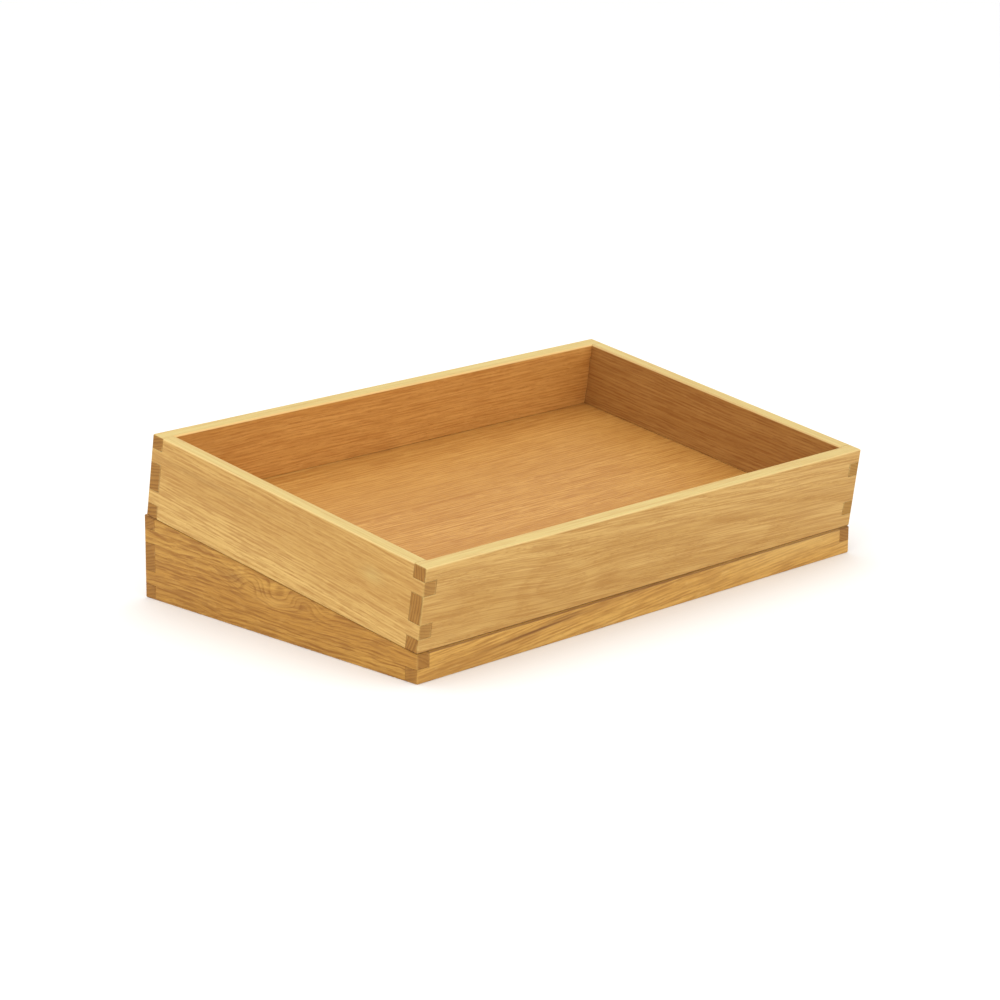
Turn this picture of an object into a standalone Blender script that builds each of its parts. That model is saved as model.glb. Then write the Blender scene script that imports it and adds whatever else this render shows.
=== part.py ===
"""A bakery display tray resting on an angled riser, both finger-jointed from oak boards.

The tray is four boards round a base panel that is held in grooves. The riser is four boards
with no top or bottom, sawn to a slope, so that the tray leans towards whoever stands in front.
Nothing fastens the two together: the tray's lower edges lie on the riser's sloping top edges.

Metres, +Z up, front towards -Y. The origin is on the counter, under the middle of the box that
holds tray and riser together.
"""

import math

import bmesh
import bpy
from mathutils import Matrix, Vector

# Both frames
WIDTH = 0.530
DEPTH = 0.325
BOARD = 0.013
FINGER = 0.012
EASING = 0.0012

# Heights, counted in fingers of the corner joints
TRAY_FINGERS = 6
RISER_BACK_FINGERS = 6
RISER_FRONT_FINGERS = 2

# Base panel of the tray and the groove that holds it
PANEL = 0.006
PANEL_RAISE = 0.008
GROOVE_DEPTH = 0.006
PANEL_EASING = 0.0006

# Gaps that keep touching pieces apart
JOINT_GAP = 0.0002
REST_GAP = 0.0003
PANEL_GAP = 0.0003

# How far the tray's front edge lies behind the riser's, measured up the slope
SETBACK = 0.0005

# How far a blank or a cutter runs past the surface that trims it
OVERRUN = 0.004
EASING_SEGMENTS = 3

TRAY_HEIGHT = TRAY_FINGERS * FINGER
RISER_BACK = RISER_BACK_FINGERS * FINGER
RISER_FRONT = RISER_FRONT_FINGERS * FINGER
SLOPE = math.atan2(RISER_BACK - RISER_FRONT, DEPTH)

# Which fingers of a corner belong to which board, as (first, end) counted up from the bottom.
# A long board is a front or back one; a short board is a left or right one.
FULL_CORNER = {"long": ((0, 1), (2, 4), (5, 6)), "short": ((1, 2), (4, 5)), "count": 6}
LOW_CORNER = {"long": ((0, 1),), "short": ((1, 2),), "count": 2}

# Base colour and roughness
TRAY_OAK = ((0.58, 0.35, 0.13), 0.50)
RISER_OAK = ((0.50, 0.27, 0.09), 0.50)
PANEL_OAK = ((0.52, 0.30, 0.11), 0.55)


def clear_scene():
    for obj in list(bpy.data.objects):
        bpy.data.objects.remove(obj, do_unlink=True)


def new_collection(name):
    collection = bpy.data.collections.new(name)
    bpy.context.scene.collection.children.link(collection)
    return collection


def oak(name, look):
    """A plain Principled material for one piece."""
    colour, roughness = look
    material = bpy.data.materials.new(name)
    material.use_nodes = True
    shader = material.node_tree.nodes["Principled BSDF"]
    shader.inputs["Base Color"].default_value = (*colour, 1.0)
    shader.inputs["Roughness"].default_value = roughness
    shader.inputs["Metallic"].default_value = 0.0
    return material


def frame_origin(name, location, tilt):
    """The empty that carries one frame: its origin is the frame's lower front edge, mid-width."""
    empty = bpy.data.objects.new(name, None)
    empty.location = location
    empty.rotation_euler = (tilt, 0.0, 0.0)
    empty.empty_display_size = 0.05
    PARTS.objects.link(empty)
    return empty


def boxes(name, corner_pairs, collection, parent):
    """One object made of a box between each pair of corners."""
    shape = bmesh.new()
    for low, high in corner_pairs:
        low, high = Vector(low), Vector(high)
        place = Matrix.Translation((low + high) / 2) @ Matrix.Diagonal((*(high - low), 1.0))
        bmesh.ops.create_cube(shape, size=1.0, matrix=place)
    mesh = bpy.data.meshes.new(name)
    shape.to_mesh(mesh)
    shape.free()
    obj = bpy.data.objects.new(name, mesh)
    obj.parent = parent
    collection.objects.link(obj)
    return obj


def as_cutter(obj):
    obj.hide_render = True
    obj.display_type = "WIRE"
    return obj


def ease(obj, width):
    """Rounds every edge of a box, as sandpaper does."""
    bevel = obj.modifiers.new("easing", "BEVEL")
    bevel.width = width
    bevel.segments = EASING_SEGMENTS
    bevel.limit_method = "ANGLE"
    return obj


def boolean(obj, operation, tool):
    modifier = obj.modifiers.new(tool.name, "BOOLEAN")
    modifier.operation = operation
    modifier.solver = "EXACT"
    modifier.object = tool


def slot_heights(span, count):
    """Bottom and top of the slot for one finger. An outermost finger's slot is open at its end."""
    first, end = span
    bottom = first * FINGER - JOINT_GAP / 2 if first else -OVERRUN
    top = end * FINGER + JOINT_GAP / 2 if end < count else TRAY_HEIGHT + 2 * OVERRUN
    return bottom, top


def slots_in_long_board(name, corner, y_low, y_high, parent):
    """The slots at both ends of a front or back board, where the short boards' fingers go."""
    pairs = []
    for span in corner["short"]:
        bottom, top = slot_heights(span, corner["count"])
        inner = WIDTH / 2 - BOARD - JOINT_GAP
        outer = WIDTH / 2 + 2 * OVERRUN
        pairs.append(((inner, y_low, bottom), (outer, y_high, top)))
        pairs.append(((-outer, y_low, bottom), (-inner, y_high, top)))
    return as_cutter(boxes(name, pairs, CUTTERS, parent))


def slots_in_short_boards(name, front_corner, back_corner, parent):
    """The slots at both ends of the left and right boards, where the long boards' fingers go."""
    reach = WIDTH / 2 + 2 * OVERRUN
    ends = (
        (front_corner, -2 * OVERRUN, BOARD + JOINT_GAP),
        (back_corner, DEPTH - BOARD - JOINT_GAP, DEPTH + 2 * OVERRUN),
    )
    pairs = []
    for corner, y_low, y_high in ends:
        for span in corner["long"]:
            bottom, top = slot_heights(span, corner["count"])
            pairs.append(((-reach, y_low, bottom), (reach, y_high, top)))
    return as_cutter(boxes(name, pairs, CUTTERS, parent))


def frame_boards(prefix, look, parent, envelope, front_corner, back_corner):
    """The four boards of a frame: oversize blanks, slotted at the ends, trimmed by the envelope."""
    side = WIDTH / 2 + OVERRUN
    back = DEPTH + OVERRUN
    base = -OVERRUN
    top = TRAY_HEIGHT + OVERRUN
    corners = {
        "front_board": ((-side, -OVERRUN, base), (side, BOARD, top)),
        "back_board": ((-side, DEPTH - BOARD, base), (side, back, top)),
        "left_board": ((-side, -OVERRUN, base), (-WIDTH / 2 + BOARD, back, top)),
        "right_board": ((WIDTH / 2 - BOARD, -OVERRUN, base), (side, back, top)),
    }
    front_slots = slots_in_long_board(
        f"{prefix}_front_slots", front_corner, -2 * OVERRUN, BOARD + OVERRUN, parent
    )
    back_slots = slots_in_long_board(
        f"{prefix}_back_slots", back_corner, DEPTH - BOARD - OVERRUN, DEPTH + 2 * OVERRUN, parent
    )
    short_slots = slots_in_short_boards(f"{prefix}_short_slots", front_corner, back_corner, parent)
    slots = {
        "front_board": front_slots,
        "back_board": back_slots,
        "left_board": short_slots,
        "right_board": short_slots,
    }
    boards = []
    for kind, pair in corners.items():
        board = boxes(f"{prefix}_{kind}", [pair], PARTS, parent)
        board.data.materials.append(oak(board.name, look))
        boolean(board, "DIFFERENCE", slots[kind])
        boolean(board, "INTERSECT", envelope)
        boards.append(board)
    return boards


def panel_box(name, growth, collection, parent):
    """The tray's base panel, or the groove cutter where growth is the panel's clearance."""
    half = WIDTH / 2 - BOARD + GROOVE_DEPTH + growth
    front = BOARD - GROOVE_DEPTH - growth
    low = (-half, front, PANEL_RAISE - growth)
    high = (half, DEPTH - front, PANEL_RAISE + PANEL + growth)
    return boxes(name, [(low, high)], collection, parent)


def rim_easing(parent):
    """A flared block that takes the sharp edge off the inside of the tray's rim at 45 degrees."""
    half = WIDTH / 2 - BOARD - EASING
    low = (-half, BOARD + EASING, TRAY_HEIGHT - 2 * EASING)
    high = (half, DEPTH - BOARD - EASING, TRAY_HEIGHT + EASING)
    block = boxes("tray_rim_easing", [(low, high)], CUTTERS, parent)
    middle = Vector((0.0, DEPTH / 2, 0.0))
    for vertex in block.data.vertices:
        if vertex.co.z > TRAY_HEIGHT:
            vertex.co.x += math.copysign(3 * EASING, vertex.co.x - middle.x)
            vertex.co.y += math.copysign(3 * EASING, vertex.co.y - middle.y)
    return as_cutter(block)


def make_tray(parent):
    whole = ((-WIDTH / 2, 0.0, 0.0), (WIDTH / 2, DEPTH, TRAY_HEIGHT))
    envelope = as_cutter(ease(boxes("tray_envelope", [whole], CUTTERS, parent), EASING))
    boards = frame_boards("tray", TRAY_OAK, parent, envelope, FULL_CORNER, FULL_CORNER)
    groove = as_cutter(panel_box("tray_groove", PANEL_GAP, CUTTERS, parent))
    rim = rim_easing(parent)
    for board in boards:
        boolean(board, "DIFFERENCE", groove)
        boolean(board, "DIFFERENCE", rim)
    panel = ease(panel_box("tray_base_panel", 0.0, PARTS, parent), PANEL_EASING)
    panel.data.materials.append(oak(panel.name, PANEL_OAK))


def make_riser(parent):
    whole = ((-WIDTH / 2, 0.0, 0.0), (WIDTH / 2, DEPTH, RISER_BACK))
    envelope = boxes("riser_envelope", [whole], CUTTERS, parent)
    for vertex in envelope.data.vertices:
        if vertex.co.z > 0.0 and vertex.co.y < DEPTH / 2:
            vertex.co.z = RISER_FRONT
    as_cutter(ease(envelope, EASING))
    frame_boards("riser", RISER_OAK, parent, envelope, LOW_CORNER, FULL_CORNER)


def main():
    # The tray's eased upper front edge reaches furthest forward, and the riser's back furthest back.
    edge_forward = (SETBACK + EASING) * math.cos(SLOPE)
    edge_lean = (TRAY_HEIGHT + REST_GAP - EASING) * math.sin(SLOPE)
    foremost = edge_forward - edge_lean - EASING
    riser_front = -(foremost + DEPTH) / 2
    along = Vector((0.0, math.cos(SLOPE), math.sin(SLOPE)))
    away = Vector((0.0, -math.sin(SLOPE), math.cos(SLOPE)))
    slope_start = Vector((0.0, riser_front, RISER_FRONT))
    make_riser(frame_origin("riser_frame", (0.0, riser_front, 0.0), 0.0))
    tray_start = slope_start + SETBACK * along + REST_GAP * away
    make_tray(frame_origin("tray_frame", tray_start, SLOPE))


clear_scene()
PARTS = new_collection("display_tray_on_riser")
CUTTERS = new_collection("cutters")
CUTTERS.hide_render = True
main()
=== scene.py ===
"""Looks for a display tray on its riser: oak for each board, a pale floor, studio light and a camera."""

import math

import bpy
from mathutils import Matrix, Vector


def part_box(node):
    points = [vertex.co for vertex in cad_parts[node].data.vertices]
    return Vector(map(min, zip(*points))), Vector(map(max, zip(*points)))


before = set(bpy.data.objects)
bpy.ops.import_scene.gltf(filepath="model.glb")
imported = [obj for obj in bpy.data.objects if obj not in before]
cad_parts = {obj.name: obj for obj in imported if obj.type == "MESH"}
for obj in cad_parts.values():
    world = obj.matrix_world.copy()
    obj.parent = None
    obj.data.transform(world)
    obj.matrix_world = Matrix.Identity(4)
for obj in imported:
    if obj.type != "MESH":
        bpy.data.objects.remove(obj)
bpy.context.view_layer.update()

# Camera: angles in degrees, distance and target in metres, lens and sensor in millimetres
CAMERA_AZIMUTH = -45.75
CAMERA_ELEVATION = 15.21
CAMERA_ROLL = 0.49
CAMERA_DISTANCE = 2.809
CAMERA_LENS = 117.6
CAMERA_REACH = 50.0
SENSOR = 36.0
AIM = Vector((0.011, 0.024, 0.060))

# Softboxes: name, place and size in metres, power in watts, colour
SOFTBOXES = (
    ("key_light", (-1.6, -0.6, 1.5), 1.2, 8.0, (1.0, 0.98, 0.95)),
    ("fill_light", (0.8, -2.0, 1.0), 1.6, 3.0, (1.0, 0.99, 0.97)),
    ("top_light", (0.1, 0.3, 2.2), 1.4, 8.0, (1.0, 1.0, 1.0)),
)
ROOM_COLOUR = (1.0, 1.0, 1.0, 1.0)
ROOM_LIGHT = 1.08

FLOOR_SIZE = 12.0
FLOOR_COLOUR = (0.92, 0.92, 0.91, 1.0)
FLOOR_ROUGHNESS = 0.9

# How the edges are softened: sizes in metres, angle in degrees
WELD_DISTANCE = 0.00001
SOFT_EDGE = 0.0003
SOFT_EDGE_SEGMENTS = 2
SOFT_EDGE_ANGLE = 25.0

# Noise in the wood: blobs per metre along the grain, blobs per metre across it, detail, roughness.
# Fibres and streaks lack the first of these, because each look sets it.
TONE = (2.2, 30.0, 2.0, 0.5)
CLOUD = (14.0, 45.0, 3.0, 0.6)
FLECK = (60.0, 150.0, 2.0, 0.6)
DASH = (34.0, 430.0, 2.0, 0.6)
PORE = (150.0, 2400.0, 1.0, 0.5)
FIBRE = (900.0, 3.0, 0.6)
STREAK = (330.0, 3.0, 0.6)

# Values of that noise, which lies round 0.5, at which each thing starts to show and shows in full
TONE_SHOWS = (0.36, 0.64)
CLOUD_SHOWS = (0.40, 0.70)
CLOUD_SHOWS_ON_ENDS = (0.35, 0.65)
FLECK_SHOWS = (0.58, 0.72)
DASH_SHOWS = (0.48, 0.62)
PORE_SHOWS = (0.55, 0.68)
FIBRE_SHOWS = (0.38, 0.66)
STREAK_SHOWS = (0.40, 0.68)

# How one thing thins out another: two values of the first, then what it leaves of the second there
DASHES_BREAK_RINGS = (0.34, 0.62, 0.35, 1.0)
RINGS_BREAK_PORES = (0.1, 0.8, 0.30, 1.0)
STREAKS_BREAK_RIM_LIGHT = (0.35, 0.65, 1.0, 0.60)
STREAKS_BREAK_MARK = (0.25, 0.55, 0.5, 1.0)

# How much of a board's seed shifts each axis, so that no two boards bend alike
SEED_SPREAD = (1.0, 0.37, 0.71)

# Wander and ripple of the fibres: blobs per metre across the grain, and along it for the ripple
WANDER_ACROSS = 12.0
RIPPLE_ALONG = 20.0
RIPPLE_ACROSS = 60.0
BEND_DETAIL = (2.0, 0.5)

# A year's ring: the porous wood rises and fades over these parts of it. Noise shifts the years,
# which makes their widths uneven.
EARLY_RISE = (0.0, 0.16)
EARLY_FADE = (0.20, 0.80, 1.0, 0.0)
SHIFTS_PER_METRE = 90.0
MOST_SHIFT = 3.0
SHIFT_DETAIL = (2.0, 0.6)

# How strongly things that every board shares tint it
CLOUD_AMOUNT = 0.35
CLOUD_AMOUNT_ON_ENDS = 0.2
FLECK_AMOUNT = 0.25
PORE_AMOUNT = 0.5

# How far the edge of a pale band wanders, in metres
BAND_WOBBLE = 0.030

# Each edge-glued stave is cut from its own place in the noise, and is its own shade
STAVE_SHIFT = 3.7
STAVE_SHADE_STEP = 0.618

# Wear on open edges: its width and where it starts from the seam, in metres, and its patches
WEAR_WIDTH = 0.0022
WEAR_FROM_SEAM = (0.002, 0.004)
WEAR_PATCHES_PER_METRE = 55.0
WEAR_DETAIL = (3.0, 0.6)
WEAR_SHOWS = (0.38, 0.62)
WEAR_AMOUNT = 0.35

# Which surfaces face a direction, and which are its rounded arrises, by the cosine of the angle to it
FACING = (0.55, 0.85)
ARRIS_STARTS = (0.10, 0.35)
ARRIS_ENDS = (0.85, 0.99, 1.0, 0.0)

# Surface: roughness and what changes it, then bump
SPECULAR = 0.3
ROUGHNESS = 0.44
EARLY_ROUGHER = 0.08
FIBRE_ROUGHER = 0.16
END_ROUGHER = 0.10
WEAR_SMOOTHER = 0.12
FIBRE_HEIGHT = 0.35
RING_SINKS = 0.30
DASH_SINKS = 0.25
BUMP_STRENGTH = 0.40
BUMP_DEPTH = 0.0002


def panel_normal():
    """The upward direction square to the tray's base panel."""
    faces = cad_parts["tray_base_panel"].data.polygons
    normal = max(faces, key=lambda face: face.area).normal.copy()
    return normal if normal.z > 0.0 else -normal


X = Vector((1.0, 0.0, 0.0))
Y = Vector((0.0, 1.0, 0.0))
Z = Vector((0.0, 0.0, 1.0))
OFF_SLOPE = panel_normal()
UP_SLOPE = OFF_SLOPE.cross(X)


# ---------------------------------------------------------------- camera, light and floor


def add_camera():
    azimuth = math.radians(CAMERA_AZIMUTH)
    elevation = math.radians(CAMERA_ELEVATION)
    back = Vector(
        (
            math.sin(azimuth) * math.cos(elevation),
            -math.cos(azimuth) * math.cos(elevation),
            math.sin(elevation),
        )
    )
    data = bpy.data.cameras.new("camera")
    data.lens = CAMERA_LENS
    data.sensor_width = SENSOR
    data.clip_end = CAMERA_REACH
    camera = bpy.data.objects.new("camera", data)
    roll = Matrix.Rotation(math.radians(CAMERA_ROLL), 4, "Z")
    camera.matrix_world = (
        Matrix.Translation(AIM + CAMERA_DISTANCE * back)
        @ back.to_track_quat("Z", "Y").to_matrix().to_4x4()
        @ roll
    )
    bpy.context.scene.collection.objects.link(camera)
    bpy.context.scene.camera = camera


def add_softbox(name, place, size, power, colour):
    """A square area light that faces the object's middle."""
    data = bpy.data.lights.new(name, "AREA")
    data.size = size
    data.energy = power
    data.color = colour
    light = bpy.data.objects.new(name, data)
    light.location = place
    light.rotation_euler = (Vector(place) - AIM).to_track_quat("Z", "Y").to_euler()
    bpy.context.scene.collection.objects.link(light)


def add_studio():
    for softbox in SOFTBOXES:
        add_softbox(*softbox)
    world = bpy.data.worlds.new("studio")
    world.use_nodes = True
    background = world.node_tree.nodes["Background"]
    background.inputs["Color"].default_value = ROOM_COLOUR
    background.inputs["Strength"].default_value = ROOM_LIGHT
    bpy.context.scene.world = world
    bpy.context.scene.view_settings.view_transform = "Standard"


def add_floor():
    bpy.ops.mesh.primitive_plane_add(size=FLOOR_SIZE, location=(0.0, 0.0, 0.0))
    floor = bpy.context.object
    floor.name = "floor"
    material = bpy.data.materials.new("pale_floor")
    material.use_nodes = True
    shader = material.node_tree.nodes["Principled BSDF"]
    shader.inputs["Base Color"].default_value = FLOOR_COLOUR
    shader.inputs["Roughness"].default_value = FLOOR_ROUGHNESS
    floor.data.materials.append(material)


# ---------------------------------------------------------------- oak


class Graph:
    """Short names for adding nodes to a material and joining them."""

    def __init__(self, material):
        self.nodes = material.node_tree.nodes
        self.links = material.node_tree.links

    def put(self, socket, value):
        if isinstance(value, bpy.types.NodeSocket):
            self.links.new(value, socket)
        else:
            socket.default_value = value

    def math(self, operation, first, second=0.0):
        node = self.nodes.new("ShaderNodeMath")
        node.operation = operation
        self.put(node.inputs[0], first)
        self.put(node.inputs[1], second)
        return node.outputs[0]

    def add(self, first, second):
        return self.math("ADD", first, second)

    def subtract(self, first, second):
        return self.math("SUBTRACT", first, second)

    def times(self, first, second):
        return self.math("MULTIPLY", first, second)

    def between(self, value, low, high, out_low=0.0, out_high=1.0):
        """value's place between low and high, eased at both ends, as a number from out_low to out_high."""
        node = self.nodes.new("ShaderNodeMapRange")
        node.interpolation_type = "SMOOTHSTEP"
        self.put(node.inputs["Value"], value)
        self.put(node.inputs["From Min"], low)
        self.put(node.inputs["From Max"], high)
        self.put(node.inputs["To Min"], out_low)
        self.put(node.inputs["To Max"], out_high)
        return node.outputs["Result"]

    def vector(self, operation, first, second=(0.0, 0.0, 0.0)):
        node = self.nodes.new("ShaderNodeVectorMath")
        node.operation = operation
        self.put(node.inputs[0], first)
        self.put(node.inputs[1], second)
        return node.outputs["Value" if operation in ("LENGTH", "DOT_PRODUCT") else "Vector"]

    def split(self, vector):
        node = self.nodes.new("ShaderNodeSeparateXYZ")
        self.put(node.inputs[0], vector)
        return node.outputs

    def join(self, x, y, z):
        node = self.nodes.new("ShaderNodeCombineXYZ")
        for socket, value in zip(node.inputs, (x, y, z)):
            self.put(socket, value)
        return node.outputs[0]

    def noise(self, place, detail, rough, output="Fac"):
        node = self.nodes.new("ShaderNodeTexNoise")
        node.inputs["Scale"].default_value = 1.0
        node.inputs["Detail"].default_value = detail
        node.inputs["Roughness"].default_value = rough
        self.put(node.inputs["Vector"], place)
        return node.outputs[output]

    def sway(self, place, detail, rough):
        """Noise that pushes a point any way, by up to half a unit."""
        return self.vector("SUBTRACT", self.noise(place, detail, rough, "Color"), (0.5, 0.5, 0.5))

    def stretched(self, grain, along, across, detail, rough):
        """Noise whose blobs are 1/along metres long down the grain and 1/across metres thick."""
        return self.noise(self.vector("MULTIPLY", grain, (along, across, across)), detail, rough)

    def mix(self, share, first, second, blend="MIX"):
        node = self.nodes.new("ShaderNodeMix")
        node.data_type = "RGBA"
        node.blend_type = blend
        node.clamp_factor = True
        self.put(node.inputs["Factor"], share)
        self.put(node.inputs[6], first)
        self.put(node.inputs[7], second)
        return node.outputs[2]


class Board:
    """One board of a frame: where it is, which way its grain runs and how big it is."""

    def __init__(self, node):
        self.node = node
        self.on_tray = node.startswith("tray")
        low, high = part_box(node)
        self.origin = (low + high) / 2
        depthwise, upward = (UP_SLOPE, OFF_SLOPE) if self.on_tray else (Y, Z)
        if node.endswith("panel"):
            self.axes = (X, upward, depthwise)
            self.inward = upward
        elif "left" in node or "right" in node:
            self.axes = (depthwise, X, upward)
            self.inward = X if "left" in node else -X
        else:
            self.axes = (X, depthwise, upward)
            self.inward = depthwise if "front" in node else -depthwise
        corners = [vertex.co - self.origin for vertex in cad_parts[node].data.vertices]
        self.halves = [max(abs(corner.dot(axis)) for corner in corners) for axis in self.axes]

    def place(self, graph):
        """Object coordinates turned into (along the grain, through the board, across it), in metres."""
        coordinate = graph.nodes.new("ShaderNodeTexCoord").outputs["Object"]
        offset = graph.vector("SUBTRACT", coordinate, tuple(self.origin))
        return [graph.vector("DOT_PRODUCT", offset, tuple(axis)) for axis in self.axes]

    def turned(self, graph, direction):
        """The cosine of the angle between the surface's normal and the direction."""
        normal = graph.nodes.new("ShaderNodeTexCoord").outputs["Normal"]
        return graph.vector("DOT_PRODUCT", normal, tuple(direction))

    def facing(self, graph, direction):
        """1 where the surface faces the direction, 0 where it doesn't, easing round an edge."""
        return graph.between(self.turned(graph, direction), *FACING)

    def facing_along(self, graph, axis):
        """1 where the surface faces either way along the axis, as facing does for one way."""
        return graph.between(graph.math("ABSOLUTE", self.turned(graph, axis)), *FACING)

    def arris(self, graph, direction):
        """1 on the rounded arrises round the face that looks in the direction."""
        turned = self.turned(graph, direction)
        return graph.times(graph.between(turned, *ARRIS_STARTS), graph.between(turned, *ARRIS_ENDS))

    def seam_distance(self, graph, place):
        """How far a point is from the edge that lies on the other frame, in metres."""
        towards = 1.0 if self.on_tray else -1.0
        return graph.add(graph.times(place[2], towards), self.halves[2])

    def edge_distance(self, graph, place):
        """How far a point of the surface is from the nearest edge of the board, in metres."""
        sides = [
            graph.subtract(half, graph.math("ABSOLUTE", value))
            for half, value in zip(self.halves, place)
        ]
        nearer = graph.math("MINIMUM", sides[0], sides[1])
        farther = graph.math("MAXIMUM", sides[0], sides[1])
        return graph.math("MAXIMUM", nearer, graph.math("MINIMUM", farther, sides[2]))


def oval(graph, along, across, middle, half_length, half_width):
    """A soft oval on a face: 1 in its middle and 0 outside."""
    down = graph.math("DIVIDE", graph.subtract(along, middle[0]), half_length)
    over = graph.math("DIVIDE", graph.subtract(across, middle[1]), half_width)
    square = graph.add(graph.times(down, down), graph.times(over, over))
    return graph.math("EXPONENT", graph.times(square, -1.0))


def stave_number(graph, place, look):
    """Which of the edge-glued staves a point is in, counted from the middle one."""
    return graph.math("FLOOR", graph.add(graph.math("DIVIDE", place[2], look["stave"]), 0.5))


def bent_grain(graph, place, stave, look):
    """The board's place again, with the wander and the tilt of a trunk that wasn't straight."""
    straight = graph.join(*place)
    seeded = graph.vector("ADD", straight, tuple(look["seed"] * part for part in SEED_SPREAD))
    seeded = graph.vector("ADD", seeded, graph.join(stave, stave, stave))
    slow = graph.vector("MULTIPLY", seeded, (look["wander_along"], WANDER_ACROSS, WANDER_ACROSS))
    quick = graph.vector("MULTIPLY", seeded, (RIPPLE_ALONG, RIPPLE_ACROSS, RIPPLE_ACROSS))
    wander = (0.0, look["wander"], look["wander"])
    ripple = (0.0, look["ripple"], look["ripple"])
    bent = graph.vector("ADD", straight, graph.vector("MULTIPLY", graph.sway(slow, *BEND_DETAIL), wander))
    bent = graph.vector("ADD", bent, graph.vector("MULTIPLY", graph.sway(quick, *BEND_DETAIL), ripple))
    along, through, across = graph.split(bent)
    return along, through, graph.add(across, graph.times(along, look["tilt"]))


def swirled(graph, along, across, look):
    """Across again with the fibres pushed aside by swirls, and how far the growth rings are pushed."""
    aside = 0.0
    spread = 0.0
    for middle, half_length, half_width, push, ring_push in look["swirls"]:
        swirl = oval(graph, along, across, middle, half_length, half_width)
        aside = graph.add(aside, graph.times(swirl, push))
        spread = graph.add(spread, graph.times(swirl, ring_push))
    return graph.add(across, aside), spread


def growth_rings(graph, along, through, across, spread, look):
    """1 in the porous wood that starts each year, fading to 0 in the dense wood that ends it."""
    pith_through, pith_across = look["pith"]
    out = graph.join(0.0, graph.subtract(through, pith_through), graph.subtract(across, pith_across))
    radius = graph.add(graph.vector("LENGTH", out), graph.times(along, look["taper"]))
    radius = graph.add(radius, spread)
    years = graph.join(graph.times(radius, SHIFTS_PER_METRE), look["seed"], 0.0)
    shift = graph.times(graph.noise(years, *SHIFT_DETAIL), MOST_SHIFT)
    year = graph.math("FRACT", graph.add(graph.math("DIVIDE", radius, look["ring"]), shift))
    rise = graph.between(year, *EARLY_RISE)
    fade = graph.between(year, *EARLY_FADE)
    return graph.times(rise, fade)


class Figure:
    """The figure of one board's wood: its bent fibres, growth rings, dashes, pores and tones."""

    def __init__(self, graph, board, look):
        self.place = board.place(graph)
        self.stave = stave_number(graph, self.place, look)
        self.along, through, self.level = bent_grain(graph, self.place, self.stave, look)
        across, spread = swirled(graph, self.along, self.level, look)
        self.early = growth_rings(graph, self.along, through, across, spread, look)

        # One noise solid for each board and stave, so faces, edges and ends of a board agree
        shift = graph.add(graph.times(self.stave, STAVE_SHIFT), look["seed"])
        grain = graph.join(self.along, through, across)
        grain = graph.vector("ADD", grain, graph.join(shift, shift, shift))
        self.tone = graph.stretched(grain, *TONE)
        self.cloud = graph.stretched(grain, *CLOUD)
        self.fleck = graph.stretched(grain, *FLECK)
        self.fibre = graph.stretched(grain, look["fibres_along"], *FIBRE)
        self.streak = graph.stretched(grain, look["streaks_along"], *STREAK)

        dash = graph.stretched(grain, *DASH)
        self.dashes = graph.between(dash, *DASH_SHOWS)
        self.rings = graph.times(self.early, graph.between(dash, *DASHES_BREAK_RINGS))
        pore = graph.between(graph.stretched(grain, *PORE), *PORE_SHOWS)
        self.pores = graph.times(pore, graph.between(self.early, *RINGS_BREAK_PORES))


def face_colour(graph, figure, look):
    """The colour of a planed face, from its broad tones down to its pores."""
    dark = look["dark"]
    deep = look["deep"]
    cloud = graph.between(figure.cloud, *CLOUD_SHOWS, 0.0, CLOUD_AMOUNT * look["mottle"])
    streak = graph.between(figure.streak, *STREAK_SHOWS, 0.0, look["streak"])
    fleck = graph.between(figure.fleck, *FLECK_SHOWS, 0.0, FLECK_AMOUNT * look["mottle"])
    fibre = graph.between(figure.fibre, *FIBRE_SHOWS, 0.0, look["fibre"])
    band_starts, band_full, band_amount = look["pale_band"]
    wobble = graph.times(graph.subtract(figure.tone, 0.5), BAND_WOBBLE)
    band = graph.between(graph.add(figure.place[2], wobble), band_starts, band_full, 0.0, band_amount)

    colour = graph.mix(graph.between(figure.tone, *TONE_SHOWS), look["light"], look["warm"])
    colour = graph.mix(cloud, colour, dark)
    colour = graph.mix(band, colour, look["pale"])
    colour = graph.mix(streak, colour, dark)
    colour = graph.mix(graph.times(figure.rings, look["ring_strength"]), colour, deep)
    colour = graph.mix(graph.times(figure.dashes, look["dash"]), colour, deep)
    colour = graph.mix(fleck, colour, look["pale"])
    colour = graph.mix(fibre, colour, deep)
    return graph.mix(graph.times(figure.pores, PORE_AMOUNT), colour, deep)


def with_marks(graph, figure, look, colour):
    """Stains and rubbed places, broken up by the streaks of the wood."""
    for middle, half_length, half_width, amount, name in look["marks"]:
        mark = oval(graph, figure.along, figure.level, middle, half_length, half_width)
        mark = graph.times(mark, graph.between(figure.streak, *STREAKS_BREAK_MARK))
        colour = graph.mix(graph.times(mark, amount), colour, look[name])
    return colour


def with_stave_shades(graph, figure, look, colour):
    shade = graph.math("FRACT", graph.math("ABSOLUTE", graph.times(figure.stave, STAVE_SHADE_STEP)))
    return graph.mix(graph.times(shade, look["stave_shade"]), colour, look["dark"])


def with_edges_and_inside(graph, board, figure, look, colour):
    """Painted light: upper and lower edges paler than the faces, a painted highlight along the upper
    arrises, and painted shade with warm bounce light on the inner face.
    """
    # Painted light: the upper and lower edge faces take a paler colour, as if lit from above, broken up by
    # the streaks.
    rim = graph.times(board.facing_along(graph, board.axes[2]), look["rim_share"])
    rim = graph.times(rim, graph.between(figure.streak, *STREAKS_BREAK_RIM_LIGHT))
    colour = graph.mix(rim, colour, look["rim"])
    # Painted highlight: a bright line along the rounded upper arrises.
    glint = graph.times(board.arris(graph, board.axes[2]), look["glint_share"])
    colour = graph.mix(glint, colour, look["glint"])
    # Painted shade and warm bounce light: the inner face's colour is multiplied darker and warmer.
    inside = graph.times(board.facing(graph, board.inward), look["inside_share"])
    return graph.mix(inside, colour, look["inside"], "MULTIPLY")


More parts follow.
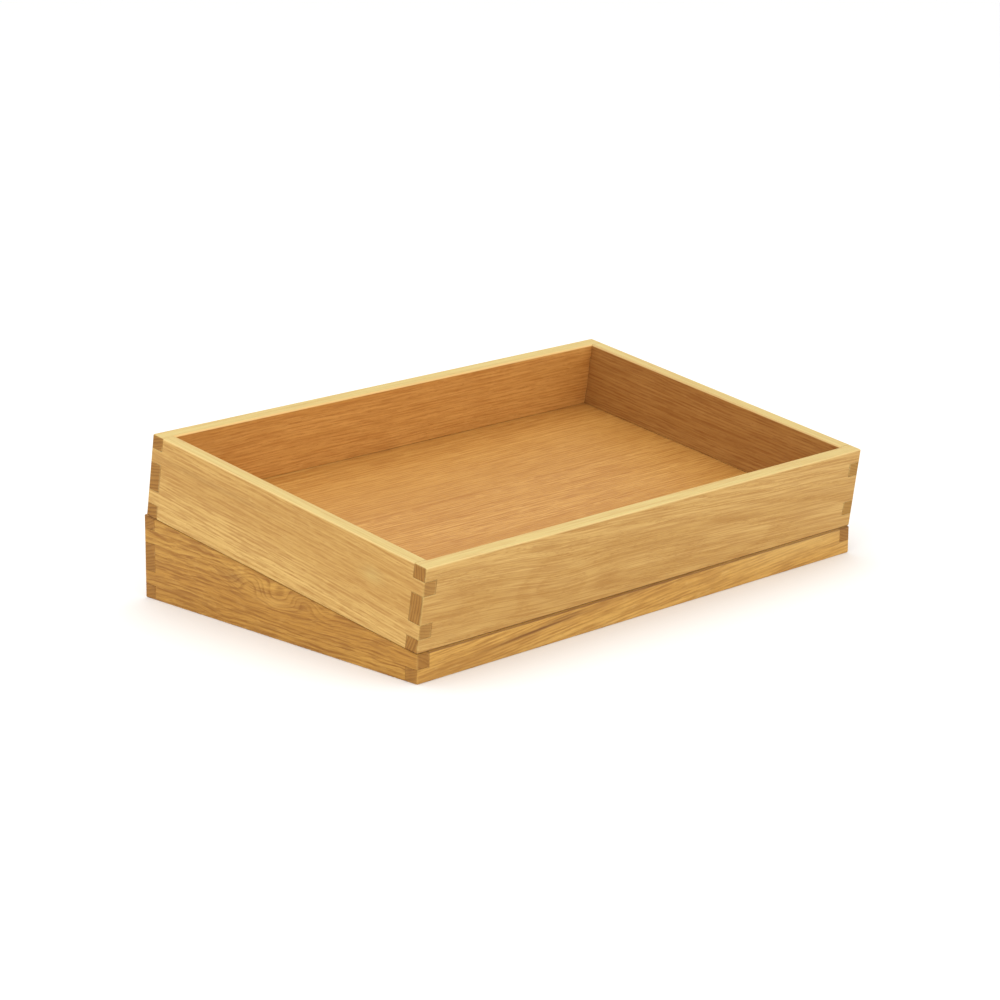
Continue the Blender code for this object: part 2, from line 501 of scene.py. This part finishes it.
def end_colour(graph, figure, look):
    """Sawn ends drink more oil, so they are darker than the faces."""
    colour = graph.mix(graph.times(figure.early, look["end_rings"]), look["end_light"], look["end_dark"])
    colour = graph.mix(graph.times(figure.pores, PORE_AMOUNT), colour, look["end_dark"])
    cloud = graph.between(figure.cloud, *CLOUD_SHOWS_ON_ENDS, 0.0, CLOUD_AMOUNT_ON_ENDS)
    return graph.mix(cloud, colour, look["dark"])


def wear(graph, board, figure, look):
    """1 where hands and cloths rub an open edge smooth and pale, which they do in patches."""
    seed = look["seed"]
    near_edge = graph.between(board.edge_distance(graph, figure.place), 0.0, WEAR_WIDTH, 1.0, 0.0)
    patches = graph.vector("MULTIPLY", graph.join(*figure.place), (WEAR_PATCHES_PER_METRE,) * 3)
    patches = graph.vector("ADD", patches, (seed, seed, seed))
    worn = graph.times(near_edge, graph.between(graph.noise(patches, *WEAR_DETAIL), *WEAR_SHOWS))
    open_edge = graph.between(board.seam_distance(graph, figure.place), *WEAR_FROM_SEAM)
    return graph.times(worn, open_edge)


def add_roughness(graph, shader, figure, ends, worn):
    rough = graph.add(ROUGHNESS, graph.times(figure.early, EARLY_ROUGHER))
    rough = graph.add(rough, graph.times(figure.fibre, FIBRE_ROUGHER))
    rough = graph.add(rough, graph.times(ends, END_ROUGHER))
    rough = graph.subtract(rough, graph.times(worn, WEAR_SMOOTHER))
    graph.put(shader.inputs["Roughness"], rough)


def add_bump(graph, shader, figure):
    """Fibres stand up a little, and pores, rings and dashes lie lower."""
    height = graph.subtract(graph.times(figure.fibre, FIBRE_HEIGHT), figure.pores)
    height = graph.subtract(height, graph.times(figure.rings, RING_SINKS))
    height = graph.subtract(height, graph.times(figure.dashes, DASH_SINKS))
    bump = graph.nodes.new("ShaderNodeBump")
    bump.inputs["Strength"].default_value = BUMP_STRENGTH
    bump.inputs["Distance"].default_value = BUMP_DEPTH
    graph.put(bump.inputs["Height"], height)
    graph.put(shader.inputs["Normal"], bump.outputs["Normal"])


def oak(board, look):
    """Solid oak for one board, with its figure, its end grain, and use along its edges."""
    material = bpy.data.materials.new(f"{board.node}_oak")
    material.use_nodes = True
    graph = Graph(material)
    shader = graph.nodes["Principled BSDF"]
    figure = Figure(graph, board, look)
    ends = board.facing_along(graph, board.axes[0])
    worn = wear(graph, board, figure, look)

    colour = face_colour(graph, figure, look)
    colour = with_marks(graph, figure, look, colour)
    colour = with_stave_shades(graph, figure, look, colour)
    colour = with_edges_and_inside(graph, board, figure, look, colour)
    colour = graph.mix(ends, colour, end_colour(graph, figure, look))
    # Worn patches on open edges are rubbed pale, in the colour that also paints the light on the edge
    # faces.
    colour = graph.mix(graph.times(worn, WEAR_AMOUNT), colour, look["rim"])

    # Painted shade: the arrises along the seam where the tray lies on the riser are darkened towards a
    # dark brown, standing in for the shade in the groove between them.
    seam_side = -OFF_SLOPE if board.on_tray else OFF_SLOPE
    painted_seam_shade = graph.times(board.arris(graph, seam_side), look["painted_seam_shade"])
    colour = graph.mix(painted_seam_shade, colour, look["stain_and_seam_shade"])

    graph.put(shader.inputs["Base Color"], colour)
    shader.inputs["Specular IOR Level"].default_value = SPECULAR
    add_roughness(graph, shader, figure, ends, worn)
    add_bump(graph, shader, figure)
    return material


# A look is the oak of one board. Lengths are in metres, shares and strengths run from 0 to 1, and a
# place is (along the grain, across it) from the board's middle.
#   seed: which part of the endless noise the board is cut from
#   stave, stave_shade: width of the edge-glued staves, and how far their shades differ
#   wander, wander_along: how far the fibres drift, and how many drifts there are along a metre
#   ripple, tilt: how far the fibres shake, and how far they run across for each metre along
#   swirls: place, half length, half width, push on the fibres, push on the growth rings
#   pith, taper, ring: the trunk's middle as (through, across), how it thickens, a year's growth
#   marks: place, half length, half width, amount, and the name of the colour
#   pale_band: where it starts and where it is full, across the board, and its amount
#   inside, the painted shade: what the colour of the inner face is multiplied by, to paint shade and warm
#       bounce light on it
TRAY_LOOK = {
    "seed": 3.1,
    "stave": 1.0,
    "stave_shade": 0.0,
    "wander": 0.010,
    "wander_along": 3.0,
    "ripple": 0.0020,
    "tilt": 0.01,
    "swirls": (),
    "pith": (0.050, 0.160),
    "taper": 0.02,
    "ring": 0.0028,
    "ring_strength": 0.46,
    "streak": 0.50,
    "streaks_along": 5.0,
    "mottle": 1.0,
    "dash": 0.34,
    "fibre": 0.32,
    "fibres_along": 18.0,
    "marks": (),
    "pale_band": (0.0, -0.036, 0.0),
    "light": (0.645, 0.398, 0.118, 1.0),
    "warm": (0.575, 0.335, 0.090, 1.0),
    "dark": (0.505, 0.275, 0.062, 1.0),
    "deep": (0.37, 0.158, 0.028, 1.0),
    "pale": (0.72, 0.470, 0.150, 1.0),
    # Colour of stains, also of the painted shade along the seam
    "stain_and_seam_shade": (0.16, 0.054, 0.010, 1.0),
    # Painted light on the edge faces, also the colour of worn and rubbed places
    "rim": (0.632, 0.490, 0.176, 1.0),
    "rim_share": 0.90,
    # Painted highlight along the upper arrises
    "glint": (0.80, 0.585, 0.245, 1.0),
    "glint_share": 0.70,
    # Painted shade along the seam
    "painted_seam_shade": 0.60,
    # Painted shade and warm bounce light on the inner face
    "inside": (1.0, 0.81, 0.60, 1.0),
    "inside_share": 0.7,
    "end_light": (0.35, 0.155, 0.022, 1.0),
    "end_dark": (0.20, 0.078, 0.010, 1.0),
    "end_rings": 0.7,
}
RISER_LOOK = {
    **TRAY_LOOK,
    "light": (0.57, 0.307, 0.056, 1.0),
    "warm": (0.49, 0.240, 0.036, 1.0),
    "dark": (0.42, 0.190, 0.024, 1.0),
    "deep": (0.28, 0.108, 0.012, 1.0),
    "pale": (0.64, 0.365, 0.086, 1.0),
    "rim": (0.60, 0.350, 0.095, 1.0),
    "rim_share": 0.3,
    "glint_share": 0.0,
    "ring_strength": 0.75,
    "streak": 0.55,
    "dash": 0.40,
    "fibres_along": 30.0,
    "end_light": (0.345, 0.155, 0.025, 1.0),
    "end_dark": (0.22, 0.088, 0.013, 1.0),
    "end_rings": 0.6,
}

BOARD_LOOKS = {
    "tray_left_board": {
        **TRAY_LOOK,
        "seed": 1.7,
        "tilt": -0.01,
        "ring_strength": 0.38,
        "streak": 0.38,
        "fibre": 0.28,
        "pale_band": (0.010, -0.026, 0.85),
        "painted_seam_shade": 0.20,
        "marks": (
            ((0.090, 0.016), 0.070, 0.0022, 0.22, "stain_and_seam_shade"),
            ((-0.106, 0.011), 0.012, 0.0060, 0.35, "rim"),
        ),
        "end_light": (0.40, 0.200, 0.042, 1.0),
        "end_dark": (0.30, 0.138, 0.027, 1.0),
    },
    "tray_front_board": {
        **TRAY_LOOK,
        "seed": 5.3,
        "tilt": 0.05,
        "pith": (0.110, -0.008),
        "ring_strength": 0.18,
        "streak": 0.48,
        "streaks_along": 2.5,
        "mottle": 0.30,
        "dash": 0.10,
        "fibre": 0.54,
        "fibres_along": 15.0,
        "painted_seam_shade": 0.68,
        "ripple": 0.0014,
        "light": (0.658, 0.406, 0.124, 1.0),
        "warm": (0.586, 0.343, 0.094, 1.0),
        "swirls": (((-0.112, -0.014), 0.052, 0.021, 0.005, 0.007),),
    },
    "tray_back_board": {
        **TRAY_LOOK,
        "seed": 9.2,
        "ring_strength": 0.34,
        "streak": 0.36,
        "dash": 0.26,
        # Painted warm bounce light on the back board's inner face
        "inside": (1.18, 0.94, 0.77, 1.0),
    },
    "tray_right_board": {
        **TRAY_LOOK,
        "seed": 12.4,
        # Painted shade: the right board's inner face is made much darker
        "inside": (0.56, 0.38, 0.26, 1.0),
        "end_light": (0.385, 0.195, 0.033, 1.0),
        "end_dark": (0.29, 0.135, 0.021, 1.0),
    },
    "tray_base_panel": {**TRAY_LOOK, "seed": 15.8, "stave": 0.076, "stave_shade": 0.35},
    "riser_left_board": {
        **RISER_LOOK,
        "seed": 4.4,
        "pith": (0.040, 0.055),
        "taper": 0.03,
        "ring": 0.0034,
        "ripple": 0.0070,
        "painted_seam_shade": 0.20,
        "dash": 0.50,
        "light": (0.590, 0.319, 0.059, 1.0),
        "warm": (0.508, 0.250, 0.038, 1.0),
        "swirls": (
            ((0.008, 0.006), 0.058, 0.023, 0.011, 0.010),
            ((0.030, 0.008), 0.018, 0.008, 0.0, 0.008),
            ((-0.004, 0.004), 0.020, 0.009, 0.0, -0.009),
            ((-0.034, 0.003), 0.016, 0.008, 0.0, 0.007),
        ),
        "marks": (
            ((0.049, 0.009), 0.013, 0.0045, 0.24, "stain_and_seam_shade"),
            ((0.017, 0.005), 0.006, 0.0030, 0.18, "stain_and_seam_shade"),
            ((-0.031, 0.004), 0.014, 0.0040, 0.16, "stain_and_seam_shade"),
            ((0.004, -0.003), 0.020, 0.0040, 0.45, "pale"),
        ),
    },
    "riser_front_board": {
        **RISER_LOOK,
        "seed": 7.9,
        "tilt": -0.05,
        "ring_strength": 0.58,
        "streak": 0.44,
        "dash": 0.38,
        "light": (0.79, 0.490, 0.128, 1.0),
        "warm": (0.71, 0.402, 0.089, 1.0),
        "dark": (0.57, 0.290, 0.052, 1.0),
        "deep": (0.38, 0.165, 0.026, 1.0),
        "pale": (0.80, 0.53, 0.17, 1.0),
        "painted_seam_shade": 0.68,
        "marks": (
            ((-0.128, 0.0080), 0.060, 0.0011, 0.95, "stain_and_seam_shade"),
            ((-0.098, 0.0105), 0.022, 0.0009, 0.80, "stain_and_seam_shade"),
            ((0.032, 0.0085), 0.055, 0.0018, 0.45, "stain_and_seam_shade"),
            ((-0.030, 0.0090), 0.055, 0.0045, 0.60, "deep"),
            ((-0.210, 0.002), 0.075, 0.009, 0.50, "deep"),
            ((0.200, -0.002), 0.090, 0.012, 0.40, "pale"),
        ),
    },
    "riser_back_board": {**RISER_LOOK, "seed": 10.6},
    "riser_right_board": {**RISER_LOOK, "seed": 14.1},
}


def soften_edges(piece):
    """Rounds every edge a little. The weld joins split corners first, so the bevel sees whole edges."""
    weld = piece.modifiers.new("weld", "WELD")
    weld.merge_threshold = WELD_DISTANCE
    bevel = piece.modifiers.new("softened_edges", "BEVEL")
    bevel.width = SOFT_EDGE
    bevel.segments = SOFT_EDGE_SEGMENTS
    bevel.limit_method = "ANGLE"
    bevel.angle_limit = math.radians(SOFT_EDGE_ANGLE)
    bevel.harden_normals = True


def finish_boards():
    for node, look in BOARD_LOOKS.items():
        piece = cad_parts[node]
        piece.data.materials.clear()
        piece.data.materials.append(oak(Board(node), look))
        soften_edges(piece)


add_camera()
add_studio()
add_floor()
finish_boards()
